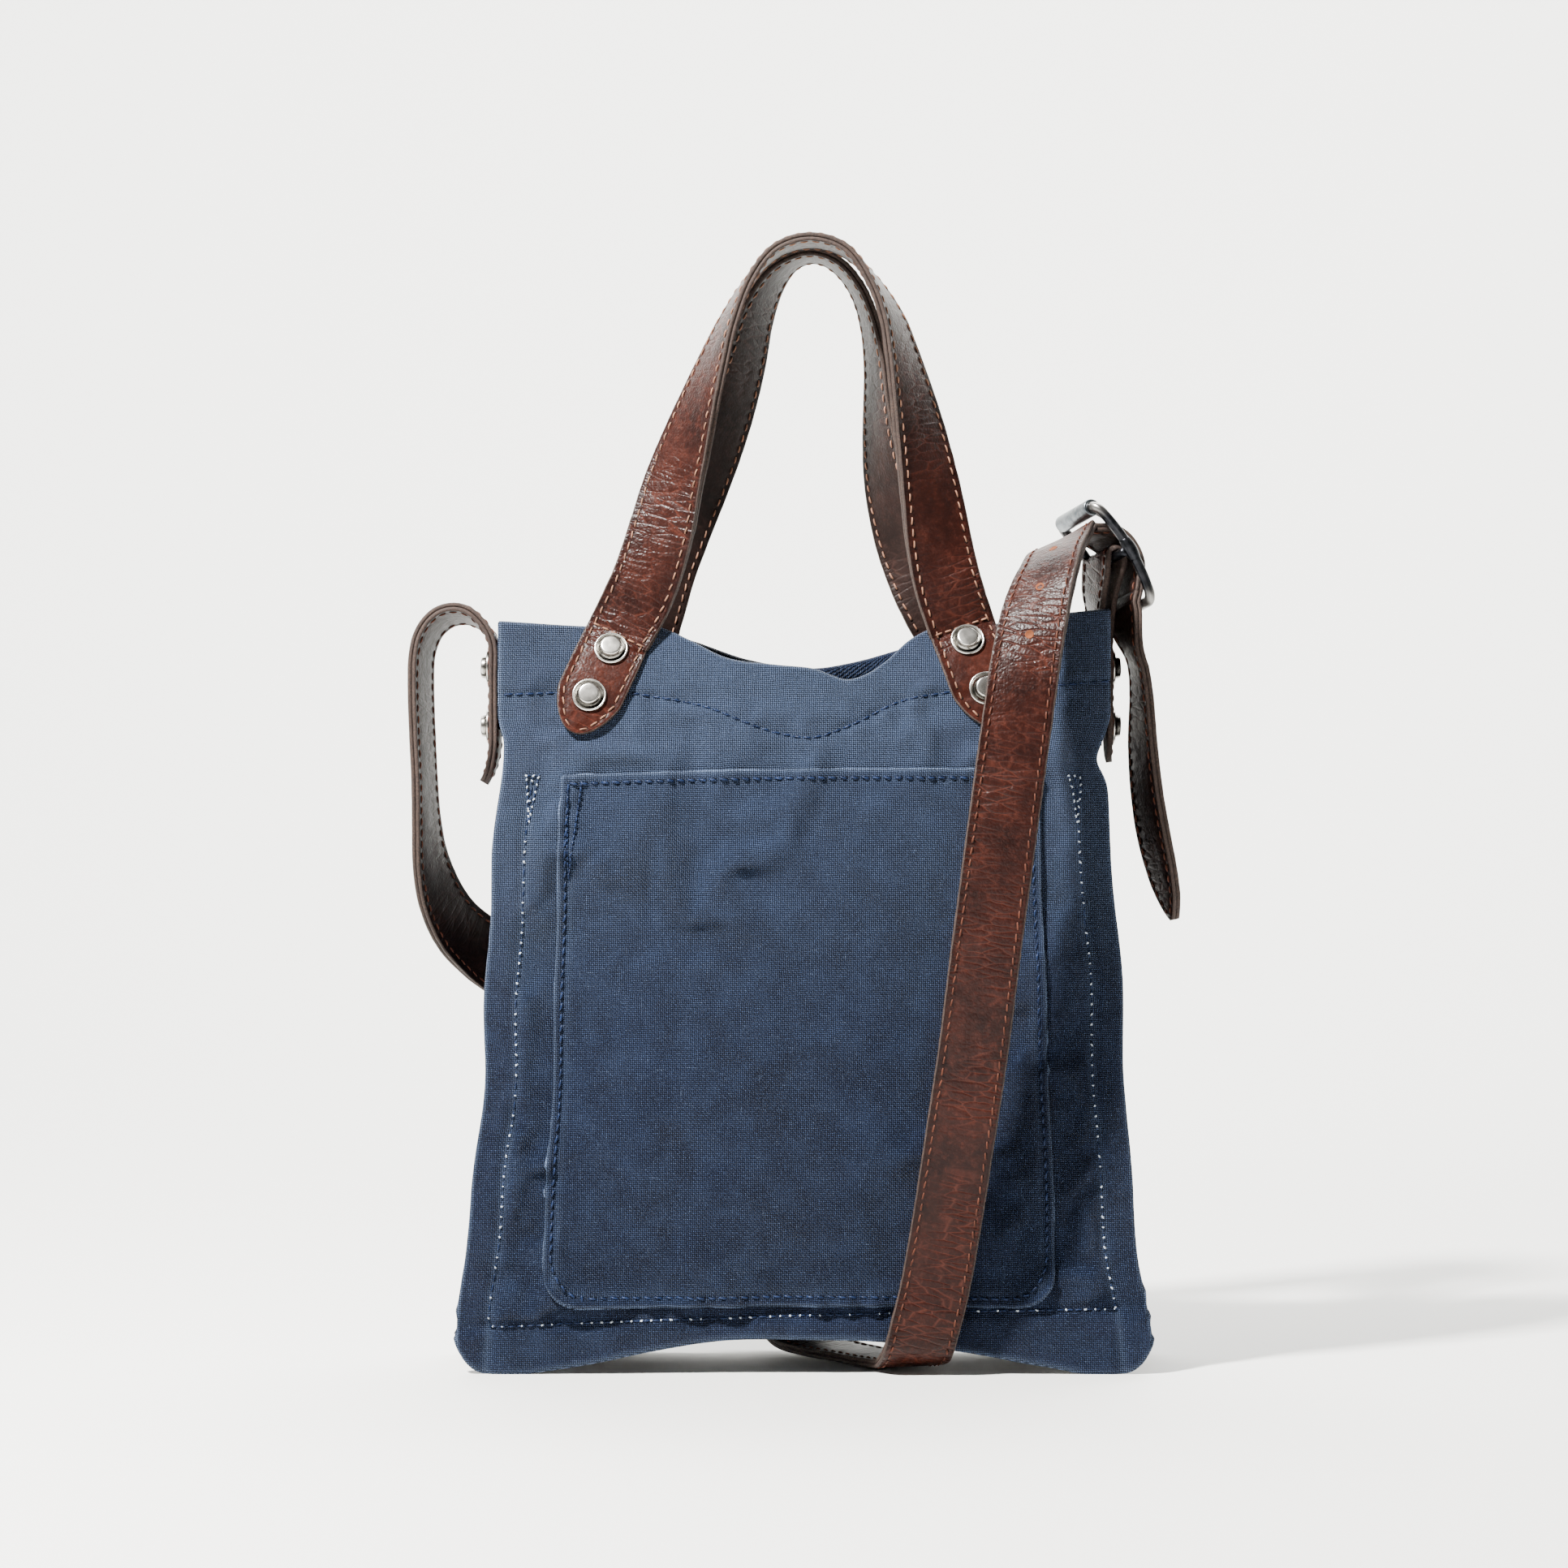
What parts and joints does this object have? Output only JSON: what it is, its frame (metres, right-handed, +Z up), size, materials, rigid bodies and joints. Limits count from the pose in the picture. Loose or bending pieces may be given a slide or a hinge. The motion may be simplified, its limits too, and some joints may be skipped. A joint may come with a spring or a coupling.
{
  "type": "messenger bag",
  "caption": "Small upright canvas crossbody tote with a patch pocket, two riveted leather carrying handles and a buckled leather shoulder strap.",
  "frame": {"origin": "on the floor, under the centre of the whole outline, strap included", "axes": "+Z up, -Y towards the front with the patch pocket, +X to the right seen from the front (the buckle side)"},
  "size_m": [0.2846, 0.1058, 0.4149],
  "materials": {
    "navy_canvas": "waxed woven canvas, matt with faint wax bloom",
    "lining_fabric": "plain woven cotton, matt",
    "brown_leather": "reddish brown pull-up leather, semi-gloss grain",
    "leather_lining": "dark brown suede side, matt",
    "patch_leather": "plain split leather, matt",
    "antique_metal": "antique nickel plate, worn and satin"
  },
  "bodies": {
    "bag": {"back_handle_tabs": "brown_leather", "back_hem_facing": "navy_canvas", "back_panel": "navy_canvas", "back_rivet_caps": "antique_metal", "back_rivet_patches": "patch_leather", "back_rivet_rings": "antique_metal", "back_rivet_washers": "antique_metal", "bottom_gusset": "navy_canvas", "buckle_frame": "antique_metal", "buckle_tab": "brown_leather", "front_handle_tabs": "brown_leather", "front_hem_facing": "navy_canvas", "front_panel": "navy_canvas", "front_pocket": "navy_canvas", "front_rivet_caps": "antique_metal", "front_rivet_patches": "patch_leather", "front_rivet_rings": "antique_metal", "front_rivet_washers": "antique_metal", "inner_slip_pocket": "lining_fabric", "left_gusset": "navy_canvas", "left_rivet_patch": "patch_leather", "lining": "lining_fabric", "right_gusset": "navy_canvas", "shoulder_strap": "brown_leather", "shoulder_strap_lining": "leather_lining", "side_rivet_caps": "antique_metal", "side_rivet_rings": "antique_metal", "side_rivet_washers": "antique_metal"},
    "front_handle": {"front_handle_strap": "brown_leather", "front_handle_lining": "leather_lining"},
    "back_handle": {"back_handle_strap": "brown_leather", "back_handle_lining": "leather_lining"},
    "strap_end": {"strap_tail": "brown_leather", "strap_tail_lining": "leather_lining"},
    "roller": {"buckle_roller": "antique_metal"},
    "prong": {"buckle_prong": "antique_metal"}
  },
  "joints": [
    {"name": "front_handle_fold", "type": "hinge", "parent": "bag", "child": "front_handle", "pos_m": [0.0037, -0.011, 0.274], "axis": [1, 0, 0], "range_deg": [0, 165]},
    {"name": "back_handle_fold", "type": "hinge", "parent": "bag", "child": "back_handle", "pos_m": [0.0037, 0.03, 0.274], "axis": [1, 0, 0], "range_deg": [-165, 0]},
    {"name": "strap_end_swing", "type": "hinge", "parent": "bag", "child": "strap_end", "pos_m": [0.12158, -0.00026, 0.27275], "axis": [0.1302, -0.9915, 0], "range_deg": [0, 60]},
    {"name": "roller_spin", "type": "hinge", "parent": "bag", "child": "roller", "pos_m": [0.10423, 0.00095, 0.31265], "axis": [-0.3498, 0.9194, -0.1799], "continuous": true},
    {"name": "prong_lift", "type": "hinge", "parent": "bag", "child": "prong", "pos_m": [0.1145, 0.0015, 0.2955], "axis": [-0.3498, 0.9194, -0.1799], "range_deg": [0, 35]}
  ]
}
